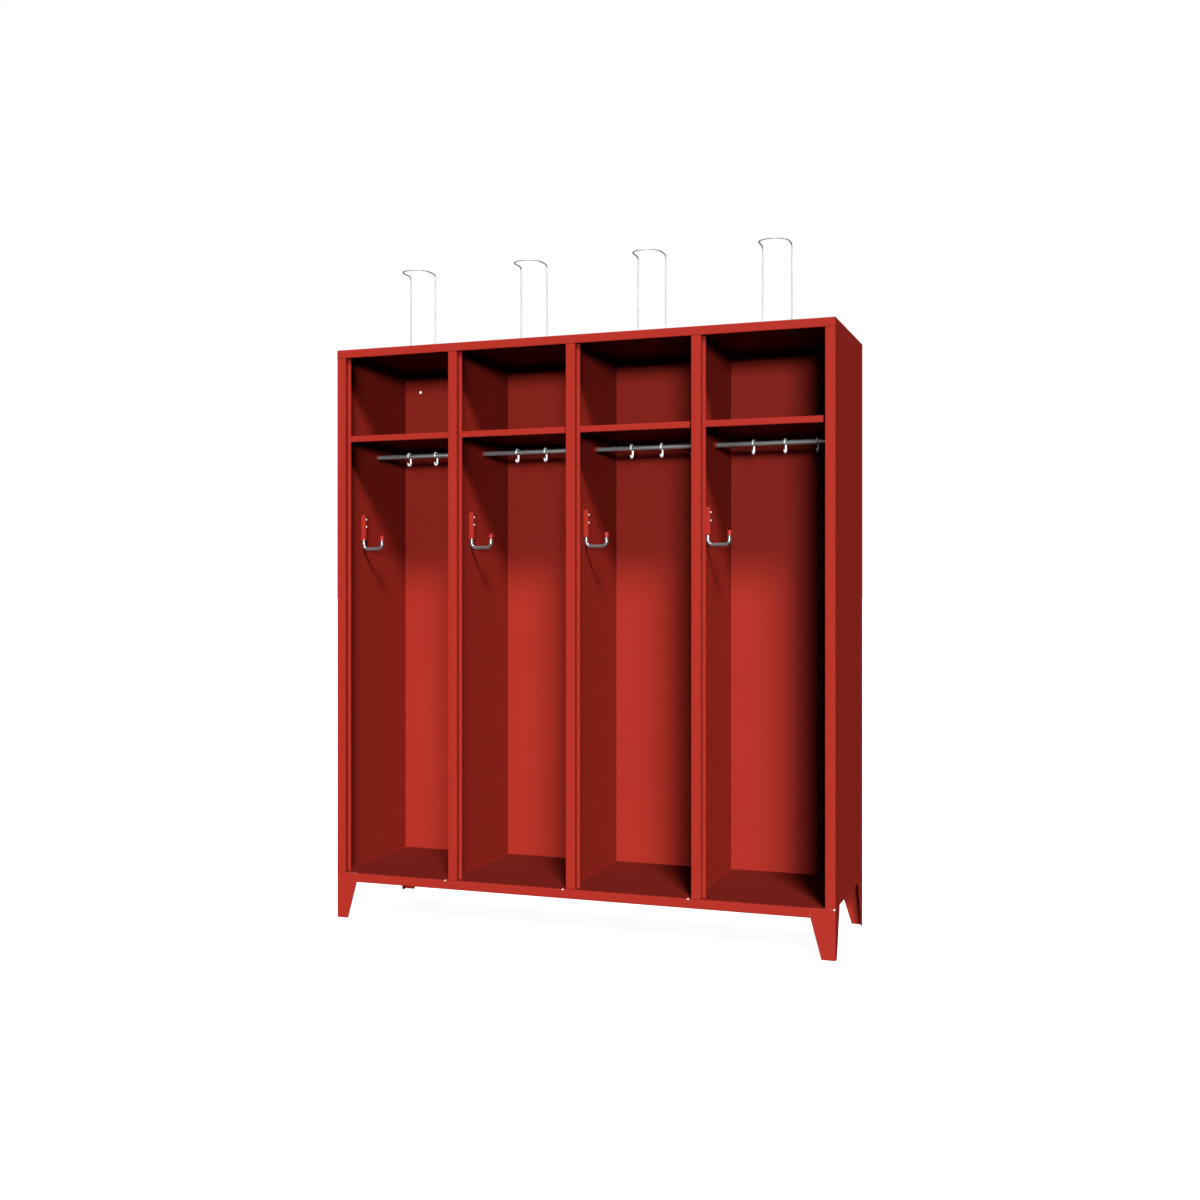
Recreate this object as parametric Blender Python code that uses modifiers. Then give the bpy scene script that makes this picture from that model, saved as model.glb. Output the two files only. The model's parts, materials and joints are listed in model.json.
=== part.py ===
"""Open school locker with four compartments, for a cloakroom.

A cabinet of folded sheet steel stands on four tapered legs. Each compartment has a hat shelf, a hanging
rail with three sliding hooks, a coat hook on its left wall and a helmet hoop above it on the roof.
The origin is the middle of the footprint, on the floor. +X is to the right, -Y is the open front and
+Z is up. Everything is in metres.
"""

import math

import bmesh
import bpy
from mathutils import Matrix

# Cabinet
WIDTH = 1.620
DEPTH = 0.500
HEIGHT = 1.850
BAYS = 4
POST = 0.030
PITCH = (WIDTH - POST) / BAYS
LEFT = -WIDTH / 2
RIGHT = WIDTH / 2
FRONT = -DEPTH / 2
BACK = DEPTH / 2

# Folded sheet
SHEET = 0.001
GAP = 0.0003
BEND = 0.0015
BEND_STEPS = 2
REAR_FLANGE = 0.012
REAR_COVER = 0.015
POST_HEM = 0.012

# Door-stop strip on the left of each opening
STOP_FACE = 0.020
STOP_WIDTH = 0.010

# Roof
FASCIA = 0.027
FASCIA_RETURN = 0.015

# Base frame and floor
BASE_TOP = 0.147
BASE_RAIL = 0.029
BASE_SHEET = 0.0015
BASE_FLANGE = 0.022
BASE_RETURN = 0.012
FLOOR_UNDER = BASE_TOP + GAP
FLOOR_TOP = FLOOR_UNDER + SHEET
RELIEF = 0.006
RELIEF_FROM_POST = 0.010

# Legs: width of the two flanges at the floor and where the taper ends
LEG_FRONT_FOOT = 0.040
LEG_REAR_FOOT = 0.034
LEG_FACE_HEAD = 0.072
LEG_SIDE_FOOT = 0.027
LEG_SIDE_HEAD = 0.076

# Uprights stand on the floor panel and carry the roof
UPRIGHT_FOOT = FLOOR_TOP + GAP
UPRIGHT_HEAD = HEIGHT - SHEET - GAP

# The back panel stands inside the rear flanges of the roof and the floor
BACK_OUTER = BACK - SHEET - GAP
BACK_INNER = BACK_OUTER - SHEET
REAR_FLANGE_Y = BACK_INNER - GAP - SHEET / 2

# Hat shelf
SHELF_TOP = 1.571
SHELF_LIP = 0.020
SHELF_RETURN = 0.012
SHELF_REAR = 0.015
SHELF_FRONT = FRONT + STOP_FACE + SHEET + GAP
SHELF_CORNER = 0.008

# Hanging rail and its sockets
RAIL_Y = FRONT + 0.275
RAIL_Z = 1.523
RAIL_RADIUS = 0.0075
RAIL_WALL = 0.0012
SOCKET_BASE = 0.002
SOCKET_LENGTH = 0.008
SOCKET_RADIUS = 0.010
SOCKET_FLANGE = 0.0125

# Sliding rail hooks
HOOK_WIRE = 0.003
HOOK_BEND = RAIL_RADIUS + HOOK_WIRE + 0.0005
HOOK_STEM = 0.020
HOOK_TOP_START = 205
HOOK_CURL_END = -160
HOOK_TOP_STEPS = 8
HOOK_CURL_STEPS = 6
HOOK_FIRST = 0.1255
HOOK_SPACING = 0.100
HOOKS = 3

# Coat hook on the left wall of each compartment
COAT_Y = FRONT + 0.170
COAT_SHANK = 0.008
COAT_ARM = 0.075
COAT_RADIUS = 0.0065
COAT_BEND = 0.016
COAT_BEND_STEPS = 5
COAT_LOW = 1.206
COAT_TOP = 1.322
COAT_TIP = 1.246
BRACKET_LOW = 1.2355
BRACKET_TOP = 1.3205
BRACKET_SHEET = 0.0015
BRACKET_BEND = 0.0025
BRACKET_WIDTH = 0.017
CAP_LOW = 1.233
CAP_TOP = 1.250
CAP_RADIUS = 0.0083
CAP_CROWN = 0.003

# Helmet hoop on the roof above each compartment
HOOP_WIRE = 0.002
HOOP_CENTRE = 0.219
HOOP_HALF = 0.045
HOOP_Y = FRONT + 0.190
HOOP_Z = 2.1155
HOOP_BEND = 0.012
HOOP_BEND_STEPS = 4
HOOP_STRAIGHT = 0.048
HOOP_NOSE_STEPS = 16
HOOP_TAIL = 0.008

# Wall-fixing holes in the back panel
FIXING_RADIUS = 0.005
FIXING_FROM_SIDE = 0.059
FIXING_Z = 1.775

# Sides of the round pieces, and the crease angle above which an edge stays sharp
HOLE_SIDES = 16
TUBE_SIDES = 20
SOCKET_SIDES = 16
CREASE = 35

RED = (0.50, 0.035, 0.025)
STEEL = (0.45, 0.45, 0.46)
BRIGHT = (0.80, 0.80, 0.80)


def clear_scene():
    for obj in list(bpy.data.objects):
        bpy.data.objects.remove(obj, do_unlink=True)


def collection(name, hidden=False):
    made = bpy.data.collections.new(name)
    bpy.context.scene.collection.children.link(made)
    made.hide_render = hidden
    return made


def coat(obj, colour, roughness, metallic):
    """Gives the object a Principled material of its own."""
    material = bpy.data.materials.new(obj.name)
    material.use_nodes = True
    shader = material.node_tree.nodes["Principled BSDF"]
    shader.inputs["Base Color"].default_value = (*colour, 1)
    shader.inputs["Roughness"].default_value = roughness
    shader.inputs["Metallic"].default_value = metallic
    obj.data.materials.clear()
    obj.data.materials.append(material)
    return obj


def powder_coat(obj):
    return coat(obj, RED, 0.45, 0)


def add_mesh(name, bm, group=None):
    mesh = bpy.data.meshes.new(name)
    bm.to_mesh(mesh)
    bm.free()
    obj = bpy.data.objects.new(name, mesh)
    (group or parts).objects.link(obj)
    return obj


def settled(obj):
    """Replaces the object by a plain mesh of what its modifiers or its curve make."""
    graph = bpy.context.evaluated_depsgraph_get()
    mesh = bpy.data.meshes.new_from_object(obj.evaluated_get(graph))
    bm = bmesh.new()
    bm.from_mesh(mesh)
    bmesh.ops.remove_doubles(bm, verts=bm.verts, dist=1e-6)
    bm.to_mesh(mesh)
    bm.free()
    name = obj.name
    plain = bpy.data.objects.new(name, mesh)
    plain.matrix_world = obj.matrix_world
    group = obj.users_collection[0]
    bpy.data.objects.remove(obj, do_unlink=True)
    group.objects.link(plain)
    plain.name = name
    mesh.shade_smooth()
    mesh.set_sharp_from_angle(angle=math.radians(CREASE))
    return plain


def arc(centre, radius, start, end, steps):
    """Points of an arc in a plane, angles in degrees."""
    for i in range(steps + 1):
        angle = math.radians(start + (end - start) * i / steps)
        yield centre[0] + radius * math.cos(angle), centre[1] + radius * math.sin(angle)


def bent(corners, radius, steps):
    """The path through the corners, each square corner turned by an arc."""
    path = [corners[0]]
    for before, corner, after in zip(corners, corners[1:], corners[2:]):
        into = unit(before, corner)
        out = unit(corner, after)
        centre = [corner[i] - radius * into[i] + radius * out[i] for i in (0, 1)]
        for step in range(steps + 1):
            turn = math.pi / 2 * step / steps
            path.append(tuple(
                centre[i] - radius * math.cos(turn) * out[i] + radius * math.sin(turn) * into[i]
                for i in (0, 1)
            ))
    path.append(corners[-1])
    return path


def unit(start, end):
    length = math.dist(start, end)
    return [(b - a) / length for a, b in zip(start, end)]


def placed(axis, along, point):
    """A 3-D point from a point of a section and the distance along the axis that crosses it."""
    a, b = point
    return {"X": (along, a, b), "Y": (a, along, b), "Z": (a, b, along)}[axis]


def folded_sheet(name, corners, axis, start, end, thickness=SHEET, radius=BEND):
    """A sheet bent along the mid-line through these corners and running along the axis."""
    bm = bmesh.new()
    verts = [bm.verts.new(placed(axis, start, point)) for point in bent(corners, radius, BEND_STEPS)]
    edges = [bm.edges.new(pair) for pair in zip(verts, verts[1:])]
    made = bmesh.ops.extrude_edge_only(bm, edges=edges)["geom"]
    moved = [item for item in made if isinstance(item, bmesh.types.BMVert)]
    bmesh.ops.translate(bm, verts=moved, vec=placed(axis, end - start, (0, 0)))
    obj = add_mesh(name, bm)
    solidify = obj.modifiers.new("Sheet", "SOLIDIFY")
    solidify.thickness = thickness
    solidify.offset = 0
    solidify.use_even_offset = True
    return obj


def box(name, low, high, group=None):
    bm = bmesh.new()
    size = [b - a for a, b in zip(low, high)]
    middle = [(a + b) / 2 for a, b in zip(low, high)]
    bmesh.ops.create_cube(bm, size=1)
    bmesh.ops.transform(bm, matrix=Matrix.LocRotScale(middle, None, size), verts=bm.verts)
    return add_mesh(name, bm, group)


def cutter(obj):
    obj.hide_render = True
    obj.display_type = "WIRE"
    return obj


def box_cutter(name, low, high):
    return cutter(box(name, low, high, cutters))


def round_cutter(name, radius, axis_point, axis, length):
    """A cylinder to cut a hole along Y or Z, centred on the point."""
    bm = bmesh.new()
    bmesh.ops.create_cone(
        bm, cap_ends=True, segments=HOLE_SIDES, radius1=radius, radius2=radius, depth=length
    )
    obj = cutter(add_mesh(name, bm, cutters))
    obj.location = axis_point
    if axis == "Y":
        obj.rotation_euler.x = math.pi / 2
    return obj


def prism_cutter(name, outline, axis, start, end):
    bm = bmesh.new()
    face = bm.faces.new([bm.verts.new(placed(axis, start, point)) for point in outline])
    made = bmesh.ops.extrude_face_region(bm, geom=[face])["geom"]
    moved = [item for item in made if isinstance(item, bmesh.types.BMVert)]
    bmesh.ops.translate(bm, verts=moved, vec=placed(axis, end - start, (0, 0)))
    bmesh.ops.recalc_face_normals(bm, faces=bm.faces)
    return cutter(add_mesh(name, bm, cutters))


def cut(obj, tool):
    boolean = obj.modifiers.new(tool.name, "BOOLEAN")
    boolean.operation = "DIFFERENCE"
    boolean.solver = "EXACT"
    boolean.object = tool
    return obj


def turned(name, profile, steps):
    """A solid turned about its local Z, from a profile that runs down its outer side."""
    bm = bmesh.new()
    verts = [bm.verts.new((radius, 0, height)) for radius, height in profile]
    closed = profile[0][0] > 0
    for pair in zip(verts, verts[1:] + verts[:1] if closed else verts[1:]):
        bm.edges.new(pair)
    obj = add_mesh(name, bm)
    screw = obj.modifiers.new("Turn", "SCREW")
    screw.steps = steps
    screw.render_steps = steps
    screw.use_merge_vertices = True
    screw.merge_threshold = 1e-5
    return obj


def wire(name, points, radius, resolution=2):
    """A round bar bent along these points."""
    curve = bpy.data.curves.new(name, "CURVE")
    curve.dimensions = "3D"
    curve.bevel_depth = radius
    curve.bevel_resolution = resolution
    curve.use_fill_caps = True
    spline = curve.splines.new("POLY")
    spline.points.add(len(points) - 1)
    for point, place in zip(spline.points, points):
        point.co = (*place, 1)
    obj = bpy.data.objects.new(name, curve)
    parts.objects.link(obj)
    return obj


def bay_left(bay):
    """Left face of the upright on the left of this compartment."""
    return LEFT + bay * PITCH


def bay_walls(bay):
    """The inner faces of the two walls of this compartment."""
    right = bay_left(bay + 1) if bay < BAYS - 1 else RIGHT - SHEET
    return bay_left(bay) + SHEET, right


def make_uprights():
    """The left side, the partitions and the right side, each folded to a post at the front."""
    fascia_room = box_cutter(
        "fascia_room",
        (LEFT - POST, FRONT - POST, HEIGHT - FASCIA - GAP),
        (RIGHT + POST, FRONT + FASCIA_RETURN + GAP, HEIGHT + POST),
    )
    for bay in range(BAYS):
        web = bay_left(bay) + SHEET / 2
        post_end = bay_left(bay) + POST - SHEET / 2
        stop = FRONT + STOP_FACE + SHEET / 2
        corners = [
            (web + REAR_FLANGE, REAR_FLANGE_Y),
            (web, REAR_FLANGE_Y),
            (web, FRONT + SHEET / 2),
            (post_end, FRONT + SHEET / 2),
            (post_end, stop),
            (bay_left(bay) + POST + STOP_WIDTH, stop),
        ]
        name = f"partition_{bay}" if bay else "left_side_panel"
        panel = folded_sheet(name, corners, "Z", UPRIGHT_FOOT, UPRIGHT_HEAD)
        powder_coat(cut(panel, fascia_room))
    web = RIGHT - SHEET / 2
    post_end = RIGHT - POST + SHEET / 2
    corners = [
        (web - REAR_FLANGE, REAR_FLANGE_Y),
        (web, REAR_FLANGE_Y),
        (web, FRONT + SHEET / 2),
        (post_end, FRONT + SHEET / 2),
        (post_end, FRONT + POST_HEM),
    ]
    panel = folded_sheet("right_side_panel", corners, "Z", UPRIGHT_FOOT, UPRIGHT_HEAD)
    powder_coat(cut(panel, fascia_room))


def make_roof():
    """One sheet, turned down to a fascia with a return at the front and to a flange at the rear."""
    face = FRONT + SHEET / 2
    rear = BACK - SHEET / 2
    low = HEIGHT - FASCIA + SHEET / 2
    top = HEIGHT - SHEET / 2
    corners = [
        (FRONT + FASCIA_RETURN, low),
        (face, low),
        (face, top),
        (rear, top),
        (rear, HEIGHT - REAR_COVER),
    ]
    roof = folded_sheet("roof_panel", corners, "X", LEFT, RIGHT)
    for bay in range(BAYS):
        for side in (-1, 1):
            centre = (bay_left(bay) + HOOP_CENTRE + side * HOOP_HALF, HOOP_Y, top)
            name = f"hoop_hole_{bay + 1}_{'left' if side < 0 else 'right'}"
            cut(roof, round_cutter(name, HOOP_WIRE + GAP, centre, "Z", 5 * SHEET))
    powder_coat(roof)


def make_back():
    """A flat sheet over the back, with one wall-fixing hole in each end compartment."""
    low = (LEFT, BACK_INNER, UPRIGHT_FOOT + BEND)
    back = box("back_panel", low, (RIGHT, BACK_OUTER, UPRIGHT_HEAD - BEND))
    for name, x in (("left", LEFT + FIXING_FROM_SIDE), ("right", RIGHT - FIXING_FROM_SIDE)):
        centre = (x, BACK_OUTER, FIXING_Z)
        cut(back, round_cutter(f"fixing_hole_{name}", FIXING_RADIUS, centre, "Y", 5 * SHEET))
    powder_coat(back)


def relief_cutters():
    """Small openings at the front bend: one left of each partition, one at the right corner."""
    for bay in range(1, BAYS):
        middle = bay_left(bay) - RELIEF_FROM_POST
        yield box_cutter(
            f"relief_{bay}",
            (middle - RELIEF / 2, FRONT - RELIEF, BASE_TOP - RELIEF / 2),
            (middle + RELIEF / 2, FRONT + 2 * RELIEF, FLOOR_TOP + RELIEF),
        )
    yield box_cutter(
        "relief_corner",
        (RIGHT - RELIEF, FRONT - RELIEF, BASE_TOP - RELIEF / 2),
        (RIGHT + RELIEF, FRONT + RELIEF, FLOOR_TOP + RELIEF),
    )


def make_base(reliefs):
    """The floor sheet with its rear flange, the rails under it, and the four legs."""
    level = FLOOR_UNDER + SHEET / 2
    rear = BACK - SHEET / 2
    corners = [(FRONT, level), (rear, level), (rear, FLOOR_TOP + REAR_COVER)]
    floor = folded_sheet("floor_panel", corners, "X", LEFT, RIGHT)
    for tool in reliefs:
        cut(floor, tool)
    powder_coat(floor)
    half = BASE_SHEET / 2
    for name, side in (("front", -1), ("rear", 1)):
        face = side * (DEPTH / 2 - half)
        corners = [
            (face - side * BASE_FLANGE, BASE_TOP - half),
            (face, BASE_TOP - half),
            (face, BASE_TOP - BASE_RAIL + half),
            (face - side * BASE_RETURN, BASE_TOP - BASE_RAIL + half),
        ]
        ends = WIDTH / 2 - LEG_FACE_HEAD - GAP
        rail = folded_sheet(f"{name}_base_rail", corners, "X", -ends, ends, BASE_SHEET)
        if side < 0:
            for tool in reliefs[:-1]:
                cut(rail, tool)
        powder_coat(rail)
    for end, across in (("front", -1), ("rear", 1)):
        for side, along in (("left", -1), ("right", 1)):
            foot = LEG_FRONT_FOOT if end == "front" else LEG_REAR_FOOT
            leg = make_leg(f"leg_{end}_{side}", along, across, foot)
            if (end, side) == ("front", "right"):
                cut(leg, reliefs[-1])
            powder_coat(leg)


def make_leg(name, along, across, foot):
    """An angle of sheet with both flanges tapered down to the foot."""
    x = along * WIDTH / 2
    y = across * DEPTH / 2
    half = BASE_SHEET / 2
    corners = [
        (x - along * LEG_FACE_HEAD, y - across * half),
        (x - along * half, y - across * half),
        (x - along * half, y - across * LEG_SIDE_HEAD),
    ]
    leg = folded_sheet(name, corners, "Z", 0, BASE_TOP, BASE_SHEET)
    taper_top = BASE_TOP - BASE_RAIL
    face = prism_cutter(
        f"{name}_face_taper",
        taper_outline(x, along, foot, LEG_FACE_HEAD, taper_top),
        "Y", y - across * BASE_FLANGE, y + across * BASE_FLANGE,
    )
    side = prism_cutter(
        f"{name}_side_taper",
        taper_outline(y, across, LEG_SIDE_FOOT, LEG_SIDE_HEAD, BASE_TOP),
        "X", x - along * BASE_FLANGE, x + along * BASE_FLANGE,
    )
    return cut(cut(leg, face), side)


def taper_outline(edge, sign, foot, head, top):
    """What a taper takes off a flange, from below the floor up to the height where it ends."""
    slope = (head - foot) / top
    below = -0.010
    beyond = head + POST
    widths = [(foot + slope * below, below), (head, top), (beyond, top), (beyond, below)]
    return [(edge - sign * width, height) for width, height in widths]


def make_shelf(bay):
    """A hat shelf with a turned-down lip, its right front corner cut away."""
    left, right = bay_walls(bay)
    rear = REAR_FLANGE_Y - 2 * BEND
    top = SHELF_TOP - SHEET / 2
    lip = SHELF_FRONT + SHEET / 2
    low = SHELF_TOP - SHELF_LIP + SHEET / 2
    corners = [
        (lip + SHELF_RETURN, low),
        (lip, low),
        (lip, top),
        (rear, top),
        (rear, SHELF_TOP - SHELF_REAR),
    ]
    shelf = folded_sheet(f"hat_shelf_{bay + 1}", corners, "X", left + GAP, right - GAP)
    corner = box_cutter(
        f"shelf_corner_{bay + 1}",
        (bay_left(bay + 1) - SHELF_CORNER, FRONT, SHELF_TOP - 2 * SHELF_LIP),
        (right + POST, SHELF_FRONT + SHELF_RETURN + 2 * SHEET, SHELF_TOP + SHELF_LIP),
    )
    powder_coat(cut(shelf, corner))


def make_rail(bay):
    """The hanging tube and the socket at each end of it, and the hooks that slide along it."""
    left, right = bay_walls(bay)
    inset = SOCKET_BASE + 2 * GAP
    length = right - left - 2 * inset
    inner = RAIL_RADIUS - RAIL_WALL
    profile = [(RAIL_RADIUS, length), (RAIL_RADIUS, 0), (inner, 0), (inner, length)]
    tube = turned(f"hanging_rail_{bay + 1}", profile, TUBE_SIDES)
    tube.location = (left + inset, RAIL_Y, RAIL_Z)
    tube.rotation_euler.y = math.pi / 2
    coat(settled(tube), STEEL, 0.35, 0.9)
    for side, wall, turn in (("left", left + GAP, 1), ("right", right - GAP, -1)):
        socket = turned(f"rail_socket_{bay + 1}_{side}", socket_profile(), SOCKET_SIDES)
        socket.location = (wall, RAIL_Y, RAIL_Z)
        socket.rotation_euler.y = turn * math.pi / 2
        powder_coat(settled(socket))
    for index in range(HOOKS):
        hook = wire(f"rail_hook_{bay + 1}_{index + 1}", rail_hook_points(), HOOK_WIRE)
        hook.location = (bay_left(bay) + HOOK_FIRST + index * HOOK_SPACING, RAIL_Y, RAIL_Z)
        coat(hook, BRIGHT, 0.25, 0.9)


def socket_profile():
    bore = RAIL_RADIUS + GAP
    return [
        (0, SOCKET_BASE),
        (bore, SOCKET_BASE),
        (bore, SOCKET_LENGTH),
        (SOCKET_RADIUS, SOCKET_LENGTH),
        (SOCKET_RADIUS, SOCKET_BASE),
        (SOCKET_FLANGE, SOCKET_BASE),
        (SOCKET_FLANGE, 0),
        (0, 0),
    ]


def rail_hook_points():
    """An S: over the rail from the front, down behind it, and forward again below."""
    over = arc((0, 0), HOOK_BEND, HOOK_TOP_START, 0, HOOK_TOP_STEPS)
    under = arc((0, -HOOK_STEM), HOOK_BEND, 0, HOOK_CURL_END, HOOK_CURL_STEPS)
    return [(0, y, z) for y, z in [*over, *under]]


def make_coat_hook(bay):
    """A round bar bent to a wide U, held on the wall by a saddle, with a cap on its free end."""
    left = bay_left(bay)
    corners = [
        (left + COAT_SHANK, COAT_TOP),
        (left + COAT_SHANK, COAT_LOW),
        (left + COAT_ARM, COAT_LOW),
        (left + COAT_ARM, COAT_TIP),
    ]
    points = [(x, COAT_Y, z) for x, z in bent(corners, COAT_BEND, COAT_BEND_STEPS)]
    coat(wire(f"coat_hook_{bay + 1}", points, COAT_RADIUS, 3), STEEL, 0.3, 0.9)

    wall = left + SHEET + GAP
    lid = left + COAT_SHANK + COAT_RADIUS + GAP + BRACKET_SHEET / 2
    reach = (BRACKET_WIDTH - BRACKET_SHEET) / 2
    corners = [
        (wall, COAT_Y - reach),
        (lid, COAT_Y - reach),
        (lid, COAT_Y + reach),
        (wall, COAT_Y + reach),
    ]
    saddle = folded_sheet(
        f"coat_hook_bracket_{bay + 1}", corners, "Z",
        BRACKET_LOW, BRACKET_TOP, BRACKET_SHEET, BRACKET_BEND,
    )
    powder_coat(saddle)

    cap = turned(f"coat_hook_cap_{bay + 1}", cap_profile(), TUBE_SIDES)
    cap.location = (left + COAT_ARM, COAT_Y, CAP_LOW)
    powder_coat(settled(cap))


def cap_profile():
    height = CAP_TOP - CAP_LOW
    bore = COAT_RADIUS + GAP
    depth = COAT_TIP + GAP - CAP_LOW
    crown = arc((CAP_RADIUS - CAP_CROWN, height - CAP_CROWN), CAP_CROWN, 90, 0, 3)
    return [(0, height), *crown, (CAP_RADIUS, 0), (bore, 0), (bore, depth), (0, depth)]


def make_hoop(bay):
    """A wire that rises from the roof, bends forward and closes in a half circle."""
    middle = bay_left(bay) + HOOP_CENTRE
    side = list(bent(
        [(HOOP_Y, HEIGHT - HOOP_TAIL), (HOOP_Y, HOOP_Z), (HOOP_Y - HOOP_STRAIGHT, HOOP_Z)],
        HOOP_BEND, HOOP_BEND_STEPS,
    ))
    nose = arc((middle, HOOP_Y - HOOP_STRAIGHT), HOOP_HALF, 180, 360, HOOP_NOSE_STEPS)
    points = [(middle - HOOP_HALF, y, z) for y, z in side[:-1]]
    points += [(x, y, HOOP_Z) for x, y in nose]
    points += [(middle + HOOP_HALF, y, z) for y, z in reversed(side[:-1])]
    coat(wire(f"helmet_hoop_{bay + 1}", points, HOOP_WIRE), BRIGHT, 0.3, 0.9)


clear_scene()
parts = collection("school_locker")
cutters = collection("cutters", hidden=True)
make_uprights()
make_roof()
make_back()
make_base(list(relief_cutters()))
for compartment in range(BAYS):
    make_shelf(compartment)
    make_rail(compartment)
    make_coat_hook(compartment)
    make_hoop(compartment)
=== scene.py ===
"""Looks of an open school locker with four compartments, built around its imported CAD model.

The folded sheet parts are the CAD nodes themselves, with welded and softly rounded edges and a powder-coat
material. The bent wires, the turned parts and the fixings are finer pieces made here. Everything is in
metres, in the frame of the CAD model: +X to the right, -Y the open front, +Z up.
"""

import json
import math

import bmesh
import bpy
from mathutils import Matrix, Vector

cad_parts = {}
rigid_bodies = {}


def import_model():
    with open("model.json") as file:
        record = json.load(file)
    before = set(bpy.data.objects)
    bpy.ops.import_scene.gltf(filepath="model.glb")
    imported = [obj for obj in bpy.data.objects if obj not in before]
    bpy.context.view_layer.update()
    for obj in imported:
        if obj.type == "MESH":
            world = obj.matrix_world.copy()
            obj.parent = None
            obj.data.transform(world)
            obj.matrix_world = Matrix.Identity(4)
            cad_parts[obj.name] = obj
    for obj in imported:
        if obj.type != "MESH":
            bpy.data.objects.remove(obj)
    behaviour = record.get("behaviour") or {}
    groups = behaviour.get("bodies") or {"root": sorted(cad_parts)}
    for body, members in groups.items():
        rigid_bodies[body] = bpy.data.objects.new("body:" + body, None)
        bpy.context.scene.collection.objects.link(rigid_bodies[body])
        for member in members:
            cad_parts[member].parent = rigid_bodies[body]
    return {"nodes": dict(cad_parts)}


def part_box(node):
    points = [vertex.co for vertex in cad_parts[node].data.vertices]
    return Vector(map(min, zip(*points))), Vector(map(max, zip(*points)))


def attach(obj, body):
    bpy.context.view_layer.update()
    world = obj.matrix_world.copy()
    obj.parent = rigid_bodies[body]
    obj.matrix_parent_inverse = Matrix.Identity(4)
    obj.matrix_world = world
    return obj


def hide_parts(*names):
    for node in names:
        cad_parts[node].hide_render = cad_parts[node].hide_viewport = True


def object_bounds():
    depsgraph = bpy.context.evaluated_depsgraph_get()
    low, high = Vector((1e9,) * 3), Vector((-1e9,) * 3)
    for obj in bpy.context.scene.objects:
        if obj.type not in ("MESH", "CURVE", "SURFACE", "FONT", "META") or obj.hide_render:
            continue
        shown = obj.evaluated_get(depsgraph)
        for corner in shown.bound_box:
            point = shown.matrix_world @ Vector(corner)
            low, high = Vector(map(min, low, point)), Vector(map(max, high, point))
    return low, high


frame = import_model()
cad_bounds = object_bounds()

CABINET = "cabinet"

# Compartments, and hooks on each rail
BAYS = 4
HOOKS = 3

# Camera: where it stands, how far it is turned to the left, its sensor, lens and shift
CAMERA_PLACE = (1.5301, -4.4373, 1.0475)
CAMERA_TURN = 20.93
SENSOR = 36.0
LENS = 43.59
CAMERA_SHIFT = (0.0430, -0.0032)

# Lights: degrees to the right of the front, degrees above the horizon, width in degrees, strength
KEY = (26, 39.5, 12, 2.42)
FILL = (18.5, 0.5, 13, 2.55)
REAR = (205, 46, 30, 2.30)
HOOK_CARD = (22, 4, 16, 6.0)
RAIL_CARD = (-25, 4, 30, 0.9)

# The weak light from all sides; the floor's half width, its drop below the feet and its own glow
AMBIENT = 0.012
FLOOR_REACH = 600
FLOOR_DROP = 0.0005
FLOOR_GLOW = 0.95

# Colours as linear red, green and blue; a pair is the dark and the light shade of one surface
COAT_SHADES = (0.495, 0.0295, 0.0175), (0.515, 0.0320, 0.0190)
# Painted shade: a darker red for level faces that look up, standing in for less light falling on them
COAT_PAINTED_SHADE_UP = (0.31, 0.0190, 0.0115)
COAT_SPECK = (0.44, 0.036, 0.026)
COAT_RUBBED = (0.60, 0.12, 0.09)
CAP_SHADES = (0.52, 0.022, 0.016), (0.56, 0.026, 0.019)
CAP_RUBBED = (0.62, 0.10, 0.08)
ZINC_SHADES = (0.38, 0.38, 0.39), (0.52, 0.52, 0.53)
STEEL_SHADES = (0.44, 0.44, 0.45), (0.60, 0.60, 0.61)
WIRE_SHADES = (0.82, 0.82, 0.83), (0.92, 0.92, 0.93)

# Folded sheet: its thickness, the gap between neighbours, and its rounded edges
SHEET = 0.001
SHEET_GAP = 0.0003
WELD = 1e-5
EDGE_RADIUS = 0.0003
EDGE_SEGMENTS = 2
EDGE_ANGLE = 60

# How finely wires, arcs, domed ends, turned parts and fillets are divided, and where shading breaks
WIRE_SIDES = 6
ARC_STEP = 6
TIP_STEPS = 5
TURN_STEPS = 48
FILLET_STEPS = 6
SHARP_ANGLE = 40

# Turned parts: the broken edge of a ring, and the play between a bar and what it sits in
BROKEN_EDGE = 0.0002
PLAY = 0.0003

# Hanging rails and the hooks on them: the bends of an S end at these angles
RAIL_WALL = 0.0012
SOCKET_FLANGE = 0.0025
HOOK_OVER = 205
HOOK_UNDER = -160

# Coat hooks and hoops; a hoop's wire is measured this far below its top
COAT_HOOK_BEND = 0.016
CAP_BORE_DEPTH = 0.0133
TIP_GAP = 0.0005
HOOP_BEND = 0.012
WIRE_SEARCH = 0.0041

# Fixings: the clamping screws of the coat hooks, the nuts of the hoops and two bolts under the roof
SCREW_RADIUS = 0.003
SCREW_HEIGHT = 0.0020
SCREWS_BELOW_TOP = (0.0145, 0.0395)
NUT_FLAT = 0.0035
NUT_HEIGHT = 0.0032
WASHER_RADIUS = 0.0045
WASHER = 0.0008
BOLT_RADIUS = 0.0042
BOLT_HEIGHT = 0.0032
BOLT_FROM_SIDE = 0.0145
BOLTS_FROM_REAR = (0.122, 0.015)

# Plates in the ends of the folded fascia: depth of the fold, how far they sink into its sheet, their
# corners, and the depth and inset of each ring from the face inwards
FASCIA_RETURN = 0.015
END_SINK = 0.0006
END_CORNER = 0.0012
END_RINGS = ((0.0002, 0.0003), (0.0005, 0), (0.0015, 0))

# Sealed seams along the sides of the roof and the floor: leg of the fillet, how far it sits in the gap, and
# how far it stays behind the front and before the rear
SEAM = 0.0022
SEAM_SINK = 0.0004
SEAM_FRONT = 0.017
SEAM_REAR = 0.0035


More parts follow.
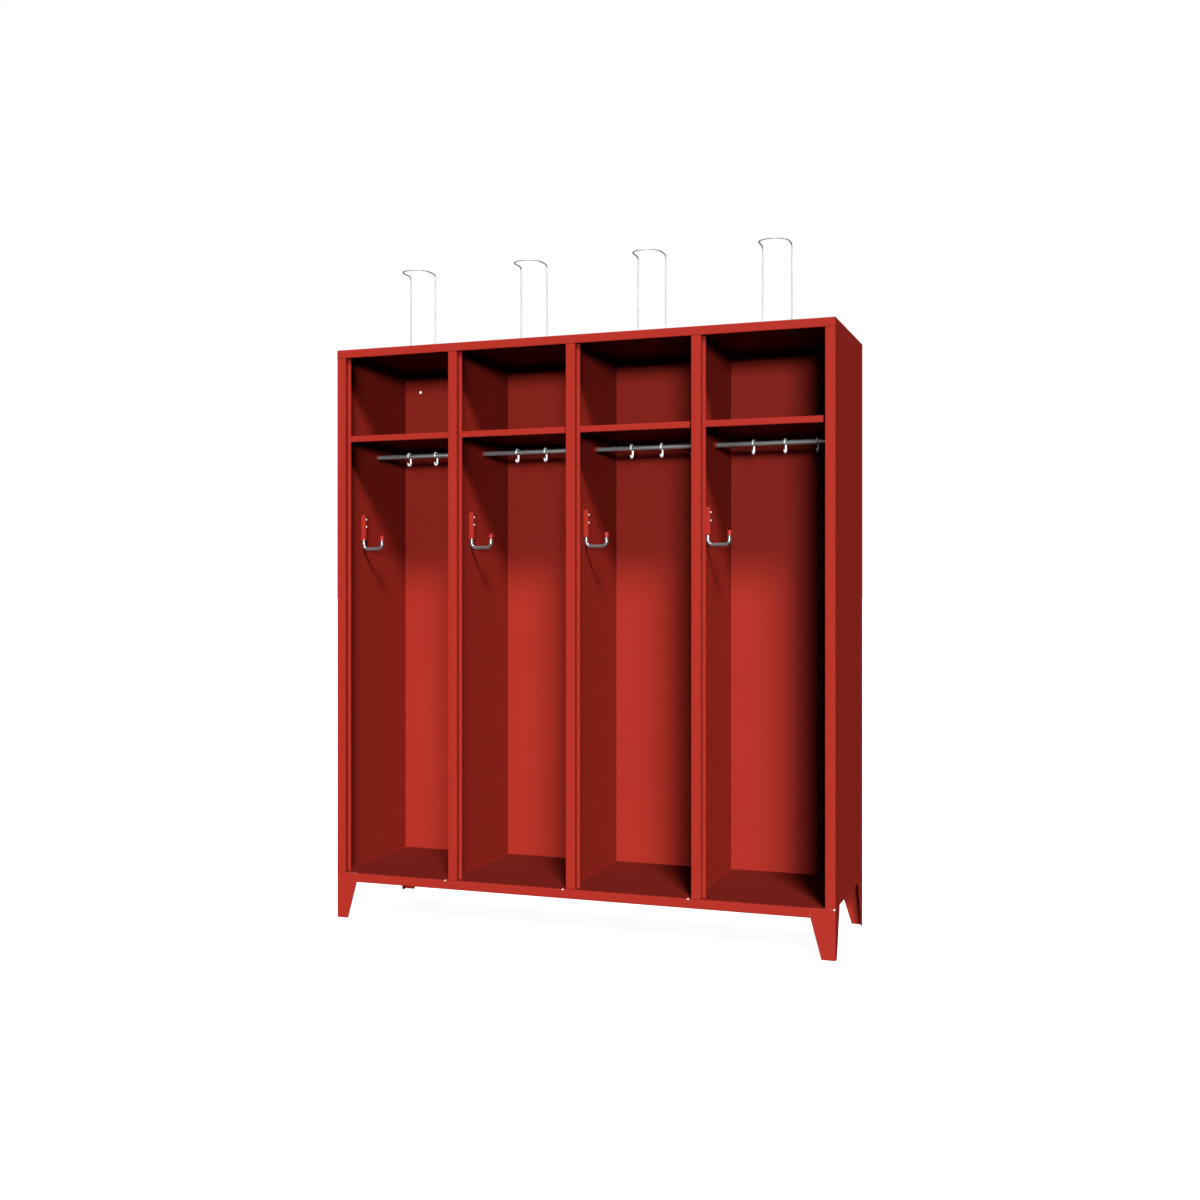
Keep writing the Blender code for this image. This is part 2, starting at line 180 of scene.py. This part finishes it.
def arc(centre, radius, start, end):
    """Points of an arc in a plane, angles in degrees, one every few degrees."""
    steps = max(2, math.ceil(abs(end - start) / ARC_STEP))
    for i in range(steps + 1):
        angle = math.radians(start + (end - start) * i / steps)
        yield centre[0] + radius * math.cos(angle), centre[1] + radius * math.sin(angle)


def add_mesh(name, bm, smooth=True):
    """An object from the mesh code's result, shaded smooth between its sharp edges."""
    mesh = bpy.data.meshes.new(name)
    bm.normal_update()
    bm.to_mesh(mesh)
    bm.free()
    obj = bpy.data.objects.new(name, mesh)
    bpy.context.scene.collection.objects.link(obj)
    if smooth:
        mesh.shade_smooth()
        mesh.set_sharp_from_angle(angle=math.radians(SHARP_ANGLE))
    return obj


def finished(obj, slot, body, *nodes):
    """Gives the piece its material and its body, and says which CAD nodes it stands for."""
    obj.data.materials.clear()
    obj.data.materials.append(finish[slot])
    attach(obj, body)
    if nodes:
        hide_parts(*nodes)


# Materials


class Tree:
    """The node tree of a new material, with its Principled shader."""

    def __init__(self, name):
        self.material = bpy.data.materials.new(name)
        self.material.use_nodes = True
        self.nodes = self.material.node_tree.nodes
        self.links = self.material.node_tree.links
        self.shader = self.nodes["Principled BSDF"]
        self.place = self.add("ShaderNodeTexCoord").outputs["Object"]

    def add(self, kind, **settings):
        """A new node of this kind, with its settings."""
        made = self.nodes.new(kind)
        for key, value in settings.items():
            setattr(made, key, value)
        return made

    def join(self, output, target):
        self.links.new(output, target)

    def noise(self, scale, detail=2.0, roughness=0.5, stretch=None):
        """A noise from 0 to 1 whose grains are 1 / scale metres, longer along an axis with a low stretch."""
        place = self.place
        if stretch:
            mapping = self.add("ShaderNodeMapping")
            mapping.inputs["Scale"].default_value = stretch
            self.join(place, mapping.inputs["Vector"])
            place = mapping.outputs["Vector"]
        made = self.add("ShaderNodeTexNoise")
        made.inputs["Scale"].default_value = scale
        made.inputs["Detail"].default_value = detail
        made.inputs["Roughness"].default_value = roughness
        self.join(place, made.inputs["Vector"])
        return made.outputs["Fac"]

    def spread(self, value, low, high, to_low, to_high):
        """The value mapped from one range to another, held inside it."""
        made = self.add("ShaderNodeMapRange", clamp=True)
        for socket, number in zip(made.inputs[1:5], (low, high, to_low, to_high)):
            socket.default_value = number
        self.join(value, made.inputs[0])
        return made.outputs[0]

    def plus(self, a, b):
        """The sum of two outputs."""
        return self.combined("ADD", a, b)

    def times(self, a, b):
        """The product of two outputs."""
        return self.combined("MULTIPLY", a, b)

    def combined(self, operation, a, b):
        made = self.add("ShaderNodeMath", operation=operation)
        self.join(a, made.inputs[0])
        self.join(b, made.inputs[1])
        return made.outputs[0]

    def mixed(self, factor, a, b):
        """Two colours mixed, each a plain colour or another node's output."""
        made = self.add("ShaderNodeMix", data_type="RGBA")
        self.join(factor, made.inputs["Factor"])
        for name, value in (("A", a), ("B", b)):
            socket = next(s for s in made.inputs if s.name == name and s.type == "RGBA")
            if isinstance(value, tuple):
                socket.default_value = (*value, 1)
            else:
                self.join(value, socket)
        return next(s for s in made.outputs if s.type == "RGBA")

    def worn_edges(self, radius):
        """1 along the sharp edges and 0 on the flats, broken up by a noise."""
        rounded = self.add("ShaderNodeBevel", samples=4)
        rounded.inputs["Radius"].default_value = radius
        true = self.add("ShaderNodeNewGeometry")
        dot = self.add("ShaderNodeVectorMath", operation="DOT_PRODUCT")
        self.join(rounded.outputs["Normal"], dot.inputs[0])
        self.join(true.outputs["True Normal"], dot.inputs[1])
        edge = self.spread(dot.outputs["Value"], 0.995, 0.85, 0, 1)
        return self.times(edge, self.spread(self.noise(90, 4), 0.42, 0.62, 0, 1))

    def facing_up(self):
        """1 on level faces that look up, 0 on all others."""
        true = self.add("ShaderNodeNewGeometry")
        split = self.add("ShaderNodeSeparateXYZ")
        self.join(true.outputs["True Normal"], split.inputs[0])
        return self.spread(split.outputs["Z"], 0.7, 0.95, 0, 1)

    def bump(self, *layers):
        """Bumps laid over each other, each a height output and its depth in metres."""
        below = None
        for height, depth in layers:
            made = self.add("ShaderNodeBump")
            made.inputs["Strength"].default_value = 1.0
            made.inputs["Distance"].default_value = depth
            self.join(height, made.inputs["Height"])
            if below:
                self.join(below, made.inputs["Normal"])
            below = made.outputs["Normal"]
        self.join(below, self.shader.inputs["Normal"])

    def paint(self, colour, roughness):
        """The material, with its colour and roughness joined to the shader."""
        self.join(colour, self.shader.inputs["Base Color"])
        self.join(roughness, self.shader.inputs["Roughness"])
        return self.material


def powder_coat():
    """Satin red powder coat: orange peel, a slow drift of the shade, specks, rubbed edges, painted shade
    that darkens level faces that look up, and those faces made rougher by what stands on them."""
    tree = Tree("powder_coat")
    tree.shader.inputs["Specular IOR Level"].default_value = 0.14
    drift = tree.spread(tree.noise(3.0, 3), 0.3, 0.7, 0, 1)
    red = tree.mixed(drift, *COAT_SHADES)
    # Painted shade: level faces that look up are darkened in colour; the same mask also makes them rougher
    level = tree.facing_up()
    red = tree.mixed(level, red, COAT_PAINTED_SHADE_UP)
    speck = tree.spread(tree.noise(1400, 1), 0.62, 0.80, 0, 0.22)
    red = tree.mixed(speck, red, COAT_SPECK)
    rubbed = tree.spread(tree.worn_edges(0.0008), 0, 1, 0, 0.35)
    red = tree.mixed(rubbed, red, COAT_RUBBED)
    rub = tree.spread(tree.noise(14, 5, 0.6), 0.35, 0.70, 0.60, 0.68)
    peel = tree.noise(420, 2, 0.45)
    grit = tree.noise(2600, 1)
    tree.bump((peel, 0.000030), (grit, 0.000003))
    dulled = tree.spread(level, 0, 1, 0, 0.22)
    return tree.paint(red, tree.plus(rub, dulled))


def plated(name, shades, metallic, roughness, stretch, depth):
    """Plated steel, drawn or brushed along one axis: clouds, and fine streaks in shade, gloss and relief."""
    tree = Tree(name)
    tree.shader.inputs["Metallic"].default_value = metallic
    streaks = tree.noise(60, 4, 0.65, stretch)
    clouds = tree.noise(35, 3)
    shade = tree.times(tree.spread(streaks, 0.3, 0.7, 0.4, 1), tree.spread(clouds, 0.3, 0.7, 0.5, 1))
    grain = tree.spread(streaks, 0.3, 0.7, roughness - 0.06, roughness + 0.08)
    tree.bump((streaks, depth))
    return tree.paint(tree.mixed(shade, *shades), grain)


def gloss_cap():
    """Moulded red plastic: nearly smooth, with faint flow marks and light scuffs on its rim."""
    tree = Tree("cap_plastic")
    flow = tree.spread(tree.noise(160, 2, 0.5, (1, 1, 0.25)), 0.3, 0.7, 0, 1)
    red = tree.mixed(flow, *CAP_SHADES)
    rubbed = tree.spread(tree.worn_edges(0.0006), 0, 1, 0, 0.3)
    red = tree.mixed(rubbed, red, CAP_RUBBED)
    scuff = tree.spread(tree.noise(300, 4, 0.6), 0.4, 0.75, 0.36, 0.48)
    tree.bump((tree.noise(900, 1), 0.000012))
    return tree.paint(red, scuff)


finish = {
    "red_powder_coat": powder_coat(),
    "rail_tube": plated("rail_zinc", ZINC_SHADES, 0.50, 0.42, (0.15, 6, 6), 8e-6),
    "hook_bar": plated("hook_steel", STEEL_SHADES, 0.75, 0.26, (5, 5, 0.5), 6e-6),
    "bright_wire": plated("wire_bright", WIRE_SHADES, 0.25, 0.36, (4, 4, 1), 3e-6),
    "red_cap": gloss_cap(),
}


# Folded sheet parts


def soften(node):
    """Joins the CAD node's split corners and rounds its cut edges, without touching its mesh."""
    node.data.attributes.remove(node.data.attributes["custom_normal"])
    node.data.shade_smooth()
    weld = node.modifiers.new("Weld", "WELD")
    weld.merge_threshold = WELD
    bevel = node.modifiers.new("Edges", "BEVEL")
    bevel.width = EDGE_RADIUS
    bevel.segments = EDGE_SEGMENTS
    bevel.limit_method = "ANGLE"
    bevel.angle_limit = math.radians(EDGE_ANGLE)
    bevel.use_clamp_overlap = True
    node.modifiers.new("Flats", "WEIGHTED_NORMAL")


# Wires and turned parts


def wire(name, points, radius):
    """A round bar along these points, with domed ends."""
    points = [Vector(point) for point in points]
    path = dome(points[0], points[1], radius)
    path += [(point, 1.0) for point in points[1:-1]]
    path += reversed(dome(points[-1], points[-2], radius))
    curve = bpy.data.curves.new(name, "CURVE")
    curve.dimensions = "3D"
    curve.bevel_depth = radius
    curve.bevel_resolution = WIRE_SIDES
    curve.use_fill_caps = True
    spline = curve.splines.new("POLY")
    spline.points.add(len(path) - 1)
    for point, (place, width) in zip(spline.points, path):
        point.co = (*place, 1)
        point.radius = width
    obj = bpy.data.objects.new(name, curve)
    bpy.context.scene.collection.objects.link(obj)
    return obj


def dome(end, inner, radius):
    """Places and widths for a rounded end, from its tip inwards."""
    inwards = (inner - end).normalized() * radius
    first = 8
    made = []
    for step in range(TIP_STEPS + 1):
        turn = math.radians(first + (90 - first) * step / TIP_STEPS)
        made.append((end + inwards * (1 - math.cos(turn)), math.sin(turn)))
    return made


def turned(name, profile, place, axis):
    """A solid turned from a closed profile of (radius, height), its axis leading from the place along X or
    Z or against it. A point marked "hex" is at that distance from the axis on six flats."""
    bm = bmesh.new()
    rings = []
    for step in range(TURN_STEPS):
        turn = 2 * math.pi * step / TURN_STEPS
        flat = 1 / math.cos((turn + math.pi / 6) % (math.pi / 3) - math.pi / 6)
        ring = []
        for radius, height, *hexagon in profile:
            reach = radius * flat if hexagon else radius
            ring.append(bm.verts.new((reach * math.cos(turn), reach * math.sin(turn), height)))
        rings.append(ring)
    for ring, after in zip(rings, rings[1:] + rings[:1]):
        for i in range(len(profile)):
            j = (i + 1) % len(profile)
            bm.faces.new((ring[i], ring[j], after[j], after[i]))
    bmesh.ops.remove_doubles(bm, verts=bm.verts, dist=1e-7)
    bmesh.ops.dissolve_degenerate(bm, edges=bm.edges, dist=1e-7)
    stand = {
        "Z": Matrix.Identity(4),
        "-Z": Matrix.Rotation(math.pi, 4, "X"),
        "X": Matrix.Rotation(math.pi / 2, 4, "Y"),
        "-X": Matrix.Rotation(-math.pi / 2, 4, "Y"),
    }[axis]
    bmesh.ops.transform(bm, matrix=Matrix.Translation(place) @ stand, verts=bm.verts)
    bmesh.ops.recalc_face_normals(bm, faces=bm.faces)
    return add_mesh(name, bm)


def middle(node):
    """The centre of a CAD node's box."""
    low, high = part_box(node)
    return (low + high) / 2


def fillet(centre, radius, start):
    """A quarter round in a profile about a centre, clockwise from this angle."""
    return list(arc(centre, radius, start, start - 90))


def make_rail(bay):
    """The tube, with its ends broken, and the two cups that hold it."""
    node = f"hanging_rail_{bay}"
    low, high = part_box(node)
    axis = middle(node)
    radius = (high.z - low.z) / 2
    inner = radius - RAIL_WALL
    length = high.x - low.x
    edge = BROKEN_EDGE
    profile = [
        (inner, edge),
        (inner + edge, 0),
        (radius - edge, 0),
        (radius, edge),
        (radius, length - edge),
        (radius - edge, length),
        (inner + edge, length),
        (inner, length - edge),
    ]
    tube = turned(f"rail_tube_{bay}", profile, (low.x, axis.y, axis.z), "X")
    finished(tube, "rail_tube", CABINET, node)
    for side in ("left", "right"):
        node = f"rail_socket_{bay}_{side}"
        low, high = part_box(node)
        wall = low.x if side == "left" else high.x
        outer = (high.z - low.z) / 2
        profile = socket_profile(outer, high.x - low.x, radius + PLAY)
        cup = turned(
            f"socket_{bay}_{side}", profile, (wall, axis.y, axis.z), "X" if side == "left" else "-X",
        )
        finished(cup, "red_powder_coat", CABINET, node)


def socket_profile(flange, length, bore):
    """A cup on a thin flange, with a rounded rim and a fillet where the two meet."""
    base = 0.002
    rim = 0.0010
    cup = flange - SOCKET_FLANGE
    foot = 0.0012
    return [
        (0, base),
        (bore, base),
        *fillet((bore + rim, length - rim), rim, 180),
        *fillet((cup - rim, length - rim), rim, 90),
        *reversed(fillet((cup + foot, base + foot), foot, 270)),
        *fillet((flange - base / 2, base / 2), base / 2, 90),
        (flange - base / 2, 0),
        (0, 0),
    ]


def make_rail_hooks(bay):
    """Each hook is an S of wire: over the rail from the front, down behind it, and forward below."""
    rail = middle(f"hanging_rail_{bay}")
    for index in range(1, HOOKS + 1):
        node = f"rail_hook_{bay}_{index}"
        low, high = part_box(node)
        radius = (high.x - low.x) / 2
        bend = high.z - rail.z - radius
        stem = rail.z - low.z - bend - radius
        over = arc((rail.y, rail.z), bend, HOOK_OVER, 0)
        under = arc((rail.y, rail.z - stem), bend, 0, HOOK_UNDER)
        points = [((low.x + high.x) / 2, y, z) for y, z in [*over, *under]]
        hook = wire(f"s_hook_{bay}_{index}", points, radius)
        finished(hook, "bright_wire", f"hook_{bay}_{index}", node)


def make_coat_hook(bay):
    """A round bar bent to a wide U, and the cap on its short arm."""
    node = f"coat_hook_{bay}"
    low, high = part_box(node)
    radius = (high.y - low.y) / 2
    y = (low.y + high.y) / 2
    shank = low.x + radius
    arm = high.x - radius
    cap_low, cap_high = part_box(f"coat_hook_cap_{bay}")
    tip = cap_low.z + CAP_BORE_DEPTH - TIP_GAP
    bend = COAT_HOOK_BEND
    foot = low.z + radius
    points = [
        (shank, high.z),
        *arc((shank + bend, foot + bend), bend, 180, 270),
        *arc((arm - bend, foot + bend), bend, 270, 360),
        (arm, tip),
    ]
    bar = wire(f"coat_hook_bar_{bay}", [(x, y, z) for x, z in points], radius)
    finished(bar, "hook_bar", CABINET, node)

    profile = cap_profile(radius + PLAY, (cap_high.x - cap_low.x) / 2, cap_high.z - cap_low.z)
    cap = turned(f"hook_cap_{bay}", profile, (arm, y, cap_low.z), "Z")
    finished(cap, "red_cap", CABINET, f"coat_hook_cap_{bay}")


def cap_profile(bore, outer, height):
    """A blind cap with a rounded crown and a bead round its mouth."""
    crown = 0.0034
    neck = 0.0003
    bead = 0.0006
    mouth = 0.0004
    return [
        (bore, 0),
        (bore, CAP_BORE_DEPTH),
        (0, CAP_BORE_DEPTH),
        (0, height),
        *fillet((outer - crown, height - crown), crown, 90),
        (outer - neck, 0.0020),
        *fillet((outer - bead, 2 * bead), bead, 60),
        (outer - mouth, 0),
    ]


def make_hoop(bay):
    """A wire that rises from the roof, bends forward and closes in a half circle, and its two nuts."""
    node = f"helmet_hoop_{bay}"
    low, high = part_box(node)
    radius = wire_radius(node)
    centre = (low.x + high.x) / 2
    half = (high.x - low.x) / 2 - radius
    rear = high.y - radius
    level = high.z - radius
    nose = low.y + radius + half
    side = [(rear, low.z), *arc((rear - HOOP_BEND, level - HOOP_BEND), HOOP_BEND, 0, 90)]
    points = [(centre - half, y, z) for y, z in side]
    points += [(x, y, level) for x, y in arc((centre, nose), half, 180, 360)]
    points += [(centre + half, y, z) for y, z in reversed(side)]
    finished(wire(f"hoop_{bay}", points, radius), "bright_wire", CABINET, node)
    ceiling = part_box("roof_panel")[1].z - SHEET
    for side, x in (("left", centre - half), ("right", centre + half)):
        nut = turned(f"hoop_nut_{bay}_{side}", nut_profile(radius), (x, rear, ceiling), "-Z")
        finished(nut, "bright_wire", CABINET)


def wire_radius(node):
    """Half the thickness of the wire where the hoop lies flat at its top."""
    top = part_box(node)[1].z
    heights = [vertex.co.z for vertex in frame["nodes"][node].data.vertices]
    return (top - min(z for z in heights if z > top - WIRE_SEARCH)) / 2


def nut_profile(bore):
    """A hexagon nut with chamfered corners on a washer, as one turned ring."""
    top = WASHER + NUT_HEIGHT
    edge = BROKEN_EDGE
    chamfer = 0.0006
    countersink = 0.0004
    return [
        (bore, 0),
        (WASHER_RADIUS - edge, 0),
        (WASHER_RADIUS, edge),
        (WASHER_RADIUS, WASHER - edge),
        (WASHER_RADIUS - edge, WASHER),
        (NUT_FLAT, WASHER, "hex"),
        (NUT_FLAT, top - chamfer, "hex"),
        (NUT_FLAT - edge, top),
        (bore + countersink, top),
        (bore, top - countersink),
    ]


def head_profile(radius, height):
    """A low domed head with a hexagon socket."""
    share = 0.45
    socket = share * radius
    depth = share * height
    fall = 0.6
    reaches = (0.55, 0.7, 0.82, 0.92, 1.0)
    crown = [(reach * radius, height * math.sqrt(1 - fall * reach * reach)) for reach in reaches]
    return [
        (0, depth),
        (socket, depth, "hex"),
        (socket, crown[0][1], "hex"),
        *crown,
        (radius, 0),
        (0, 0),
    ]


def make_bracket_screws(bay):
    """Two screws in the outer face of the saddle, which clamp the bar against the wall."""
    low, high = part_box(f"coat_hook_bracket_{bay}")
    for index, below in enumerate(SCREWS_BELOW_TOP, 1):
        place = (high.x, (low.y + high.y) / 2, high.z - below)
        profile = head_profile(SCREW_RADIUS, SCREW_HEIGHT)
        screw = turned(f"hook_screw_{bay}_{index}", profile, place, "X")
        finished(screw, "bright_wire", CABINET)


def make_roof_bolts():
    """Two bolt heads under the roof, beside the left wall."""
    low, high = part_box("roof_panel")
    for index, from_rear in enumerate(BOLTS_FROM_REAR, 1):
        place = (low.x + BOLT_FROM_SIDE, high.y - from_rear, high.z - SHEET)
        bolt = turned(f"roof_bolt_{index}", head_profile(BOLT_RADIUS, BOLT_HEIGHT), place, "-Z")
        finished(bolt, "bright_wire", CABINET)


def make_fascia_ends():
    """Plates that close the two ends of the folded fascia, with rounded corners and rims."""
    low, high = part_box("roof_panel")
    rear = low.y + FASCIA_RETURN
    reach = (rear - low.y) / 2 - END_SINK
    rise = (high.z - low.z) / 2 - END_SINK
    centre = ((low.y + rear) / 2, (low.z + high.z) / 2)
    for side, x, inwards in (("left", low.x, 1), ("right", high.x, -1)):
        bm = bmesh.new()
        rings = []
        for depth, inset in END_RINGS:
            outline = rounded_outline(centre, reach - inset, rise - inset, END_CORNER - inset)
            rings.append([bm.verts.new((x + inwards * depth, y, z)) for y, z in outline])
        skin(bm, rings)
        bmesh.ops.recalc_face_normals(bm, faces=bm.faces)
        finished(add_mesh(f"fascia_end_{side}", bm), "red_powder_coat", CABINET)


def skin(bm, rings):
    """Faces between each ring of vertices and the next, and over the first and the last."""
    for ring, after in zip(rings, rings[1:]):
        for i in range(len(ring)):
            j = (i + 1) % len(ring)
            bm.faces.new((ring[i], ring[j], after[j], after[i]))
    bm.faces.new(rings[0])
    bm.faces.new(rings[-1])


def rounded_outline(centre, half_width, half_height, radius):
    """A rectangle with rounded corners around a centre."""
    outline = []
    for right, up, start in ((1, 1, 90), (1, -1, 0), (-1, -1, -90), (-1, 1, 180)):
        corner = (centre[0] + right * (half_width - radius), centre[1] + up * (half_height - radius))
        outline += fillet(corner, radius, start)
    return outline


def bay_walls(bay):
    """The inner faces of the two walls of a compartment."""
    webs = ["left_side_panel", *(f"partition_{i}" for i in range(1, BAYS))]
    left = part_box(webs[bay - 1])[0].x + SHEET
    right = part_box(webs[bay])[0].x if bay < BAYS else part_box("right_side_panel")[1].x - SHEET
    return left, right


def add_fillet(bm, x, z, side, up, start, end):
    """A hollow fillet in the corner at x and z, from start to end along Y. Its legs point to side and up."""
    section = [
        (x - side * SEAM_SINK, z + up * SEAM),
        (x - side * SEAM_SINK, z - up * SEAM_SINK),
        (x + side * SEAM, z - up * SEAM_SINK),
        *fillet_face(x, z, side, up),
    ]
    skin(bm, [[bm.verts.new((a, y, b)) for a, b in section] for y in (start, end)])


def fillet_face(x, z, side, up):
    """The hollow face of a fillet, from its foot on the level sheet up to the wall."""
    turns = [math.radians(90 * i / FILLET_STEPS) for i in range(FILLET_STEPS + 1)]
    return [
        (x + side * SEAM * (1 - math.sin(turn)), z + up * SEAM * (1 - math.cos(turn)))
        for turn in turns
    ]


def make_seams(bay):
    """The sealed seams between a compartment's walls and its roof and floor."""
    left, right = bay_walls(bay)
    front, rear = (corner.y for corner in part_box("roof_panel"))
    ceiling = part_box("roof_panel")[1].z - SHEET
    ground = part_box("front_base_rail")[1].z + SHEET + SHEET_GAP
    bm = bmesh.new()
    for x, side in ((left, 1), (right, -1)):
        for z, up in ((ceiling, -1), (ground, 1)):
            add_fillet(bm, x, z, side, up, front + SEAM_FRONT, rear - SEAM_REAR)
    bmesh.ops.recalc_face_normals(bm, faces=bm.faces)
    finished(add_mesh(f"seams_{bay}", bm), "red_powder_coat", CABINET)


for node in frame["nodes"].values():
    slot = node.data.materials[0].name
    node.material_slots[0].material = finish[slot]
    soften(node)

for bay in range(1, BAYS + 1):
    make_rail(bay)
    make_rail_hooks(bay)
    make_coat_hook(bay)
    make_bracket_screws(bay)
    make_hoop(bay)
    make_seams(bay)
make_roof_bolts()
make_fascia_ends()


# Stage, light and camera


def make_floor():
    """A plain pale floor that runs out of sight and throws no colour back at the locker."""
    bm = bmesh.new()
    bmesh.ops.create_grid(bm, x_segments=1, y_segments=1, size=FLOOR_REACH)
    floor = add_mesh("floor", bm, smooth=False)
    floor.location.z = cad_bounds[0].z - FLOOR_DROP
    tree = Tree("pale_floor")
    tree.shader.inputs["Base Color"].default_value = (0.80, 0.80, 0.80, 1)
    tree.shader.inputs["Roughness"].default_value = 0.9
    tree.shader.inputs["Specular IOR Level"].default_value = 0.0
    tree.shader.inputs["Emission Color"].default_value = (1, 1, 1, 1)
    tree.shader.inputs["Emission Strength"].default_value = FLOOR_GLOW
    floor.data.materials.append(tree.material)
    floor.visible_diffuse = False
    floor.visible_glossy = False


def make_sun(name, right, up, width, strength):
    """A broad sun lamp from this many degrees to the right of the front and above the horizon."""
    light = bpy.data.lights.new(name, "SUN")
    light.energy = strength
    light.angle = math.radians(width)
    lamp = bpy.data.objects.new(name, light)
    bpy.context.scene.collection.objects.link(lamp)
    a, e = math.radians(right), math.radians(up)
    towards = Vector((math.sin(a) * math.cos(e), -math.cos(a) * math.cos(e), math.sin(e)))
    lamp.rotation_euler = towards.to_track_quat("Z", "Y").to_euler()
    return lamp


def make_card(name, right, up, width, strength, prefixes):
    """A light on some of the plated pieces only, as a white card beside them would give."""
    lamp = make_sun(name, right, up, width, strength)
    lit = bpy.data.collections.new(name)
    for piece in bpy.data.objects:
        if piece.name.startswith(prefixes):
            lit.objects.link(piece)
    lamp.light_linking.receiver_collection = lit


def make_world():
    """White where the camera sees past the locker, and a weak even light on everything."""
    world = bpy.data.worlds.new("studio")
    bpy.context.scene.world = world
    world.use_nodes = True
    nodes, links = world.node_tree.nodes, world.node_tree.links
    seen = nodes["Background"]
    seen.inputs["Color"].default_value = (1, 1, 1, 1)
    seen.inputs["Strength"].default_value = 1.0
    lit = nodes.new("ShaderNodeBackground")
    lit.inputs["Color"].default_value = (1, 1, 1, 1)
    lit.inputs["Strength"].default_value = AMBIENT
    path = nodes.new("ShaderNodeLightPath")
    mix = nodes.new("ShaderNodeMixShader")
    links.new(path.outputs["Is Camera Ray"], mix.inputs[0])
    links.new(lit.outputs[0], mix.inputs[1])
    links.new(seen.outputs[0], mix.inputs[2])
    links.new(mix.outputs[0], nodes["World Output"].inputs["Surface"])


def make_camera():
    """A level camera whose small shift frames the locker."""
    data = bpy.data.cameras.new("camera")
    data.sensor_width = SENSOR
    data.lens = LENS
    data.shift_x, data.shift_y = CAMERA_SHIFT
    camera = bpy.data.objects.new("camera", data)
    bpy.context.scene.collection.objects.link(camera)
    camera.location = CAMERA_PLACE
    camera.rotation_euler = (math.pi / 2, 0, math.radians(CAMERA_TURN))
    bpy.context.scene.camera = camera


make_floor()
make_sun("key", *KEY)
make_sun("fill", *FILL)
make_sun("rear", *REAR)
make_card("hook_card", *HOOK_CARD, ("s_hook_", "hook_screw_"))
make_card("rail_card", *RAIL_CARD, ("rail_tube_",))
make_world()
make_camera()
bpy.context.scene.view_settings.view_transform = "Standard"
bpy.context.scene.cycles.diffuse_bounces = 0
